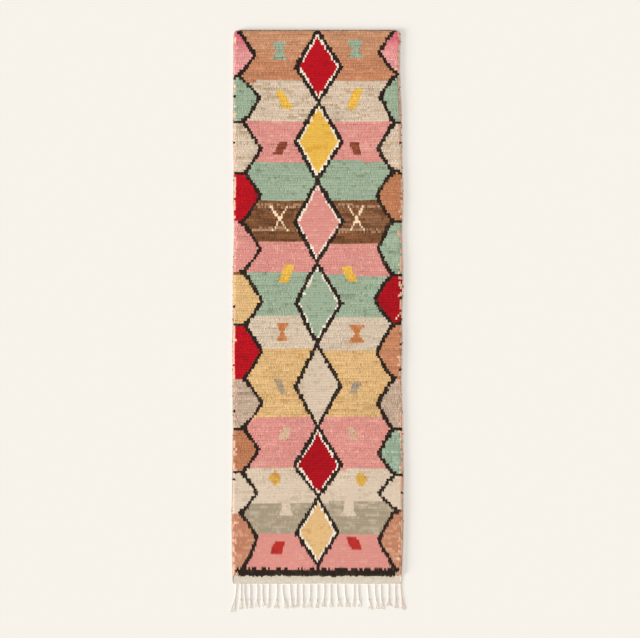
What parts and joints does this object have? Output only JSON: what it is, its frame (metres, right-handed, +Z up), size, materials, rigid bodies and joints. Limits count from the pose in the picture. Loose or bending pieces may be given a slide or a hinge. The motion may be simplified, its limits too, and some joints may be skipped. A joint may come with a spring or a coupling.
{
  "type": "knotted wool pile runner rug with one fringed end",
  "caption": "Long narrow hand-knotted wool runner with a lumpy pile, a flat-woven end strip and a knotted tassel fringe, lying flat on the floor.",
  "frame": {"origin": "middle of the whole rug in plan, fringe included, at the floor", "axes": "+Y along the length, away from the fringe; +X across the width; +Z up out of the pile"},
  "size_m": [0.8378, 2.7727, 0.0194],
  "materials": {
    "wool_pile": "matt wool pile in many plain colours",
    "cream_yarn": "matt undyed yarn, twisted and knotted"
  },
  "bodies": {
    "root": {"rug_body": "wool_pile", "fringe": "cream_yarn"}
  },
  "joints": []
}
